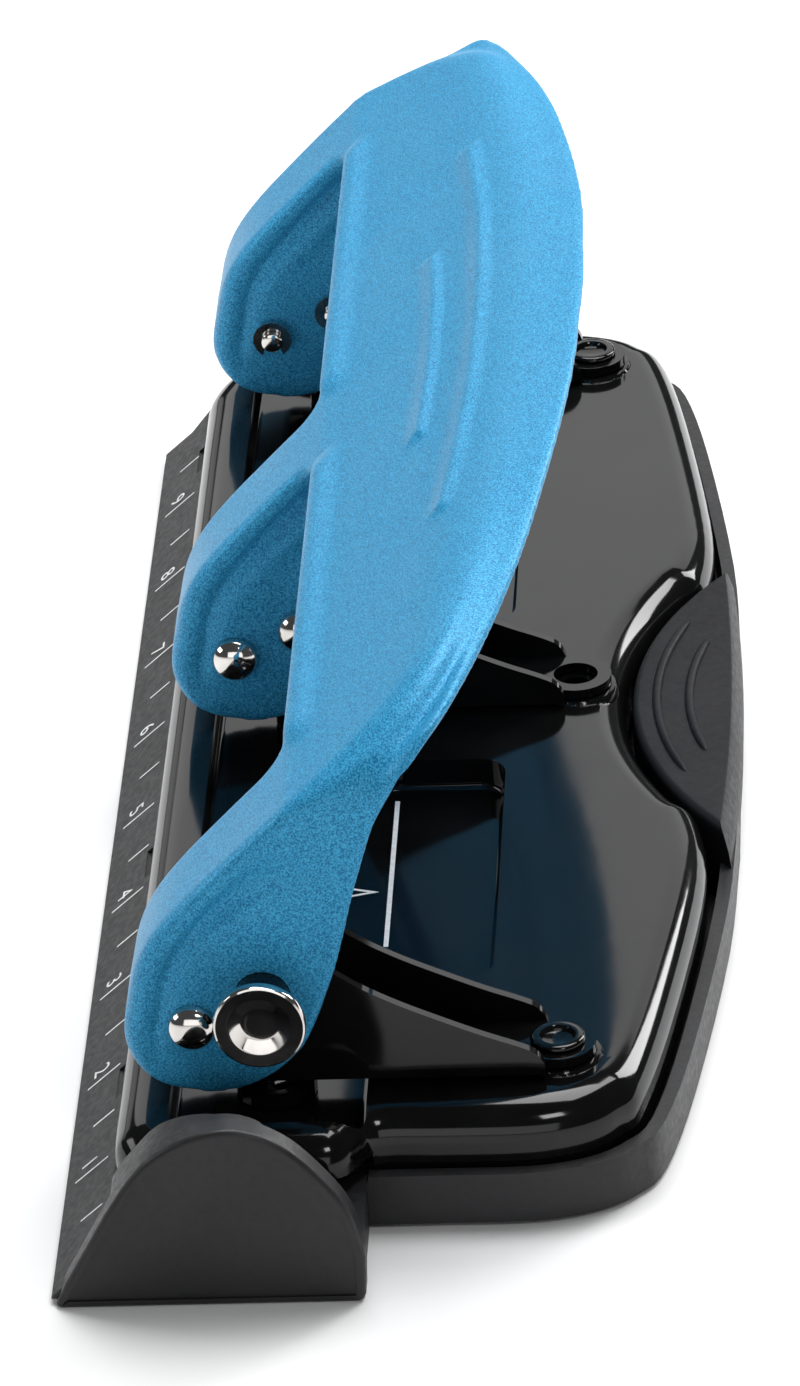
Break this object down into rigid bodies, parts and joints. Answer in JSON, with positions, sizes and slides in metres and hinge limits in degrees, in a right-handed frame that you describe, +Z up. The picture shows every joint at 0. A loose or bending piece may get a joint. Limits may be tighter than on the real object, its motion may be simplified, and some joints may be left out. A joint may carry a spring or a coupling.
{
  "type": "hole punch",
  "caption": "Desktop paper punch: ruler ramp and paper stop on a moulded tray, glossy pressed cover, and upright lever presses joined by one long curved handle.",
  "frame": {"origin": "centre of the footprint at table level, under the rubber feet", "axes": "+X along the row of punches towards the paper stop, +Y from the paper side to the back, +Z up"},
  "size_m": [0.2716, 0.0952, 0.086],
  "materials": {
    "black_plastic": "fine moulded texture",
    "rubber": "matt",
    "black_enamel": "gloss",
    "blue_paint": "metallic with fine flake",
    "nickel": "bright plated",
    "steel": "plain"
  },
  "bodies": {
    "base": {"base_tray": "black_plastic", "foot_1": "rubber", "foot_2": "rubber", "foot_3": "rubber", "foot_4": "rubber", "tray_hinge_pin_near": "steel", "tray_hinge_pin_far": "steel"},
    "press_frame": {"top_cover": "black_enamel", "die_plate": "steel", "bracket_near": "black_enamel", "bracket_mid": "black_enamel", "bracket_far": "black_enamel", "bracket_screw_near": "black_enamel", "bracket_screw_far": "black_enamel", "punch_guide_near": "black_enamel", "punch_guide_mid": "black_enamel", "punch_guide_far": "black_enamel", "return_spring_near": "steel", "return_spring_mid": "steel", "return_spring_far": "steel", "pivot_pin_near": "nickel", "pivot_pin_mid": "nickel", "pivot_pin_far": "nickel", "pivot_clip_near": "nickel", "pivot_clip_mid": "nickel", "pivot_clip_far": "nickel"},
    "handle_arm": {"handle": "blue_paint", "drive_pin_mid": "nickel", "drive_pin_far": "nickel", "drive_clip_mid": "nickel", "drive_clip_far": "nickel"},
    "lock": {"lock_knob": "nickel"},
    "near_punch": {"punch_near": "steel", "spring_washer_near": "steel"},
    "mid_punch": {"punch_mid": "steel", "spring_washer_mid": "steel"},
    "far_punch": {"punch_far": "steel", "spring_washer_far": "steel"}
  },
  "joints": [
    {"name": "chip_hinge", "type": "hinge", "parent": "base", "child": "press_frame", "pos_m": [-0.0095, -0.03675, 0.0056], "axis": [1, 0, 0], "range_deg": [0, 40]},
    {"name": "handle_hinge", "type": "hinge", "parent": "press_frame", "child": "handle_arm", "pos_m": [-0.0095, -0.02795, 0.0282], "axis": [-1, 0, 0], "range_deg": [0, 40], "stiffness_Nm_per_rad": 0.6, "springref_deg": -20.05},
    {"name": "lock_slide", "type": "slide", "parent": "handle_arm", "child": "lock", "axis": [-1, 0, 0], "range_m": [0, 0.0015]},
    {"name": "near_punch_slide", "type": "slide", "parent": "press_frame", "child": "near_punch", "axis": [0, 0, -1], "range_m": [0, 0.0076], "deforming": ["return_spring_near"]},
    {"name": "mid_punch_slide", "type": "slide", "parent": "press_frame", "child": "mid_punch", "axis": [0, 0, -1], "range_m": [0, 0.0076], "deforming": ["return_spring_mid"]},
    {"name": "far_punch_slide", "type": "slide", "parent": "press_frame", "child": "far_punch", "axis": [0, 0, -1], "range_m": [0, 0.0076], "deforming": ["return_spring_far"]}
  ],
  "couplings": [
    {"joint": "near_punch_slide", "follows": "handle_hinge", "m_per_rad": 0.01077},
    {"joint": "mid_punch_slide", "follows": "handle_hinge", "m_per_rad": 0.01077},
    {"joint": "far_punch_slide", "follows": "handle_hinge", "m_per_rad": 0.01077}
  ]
}
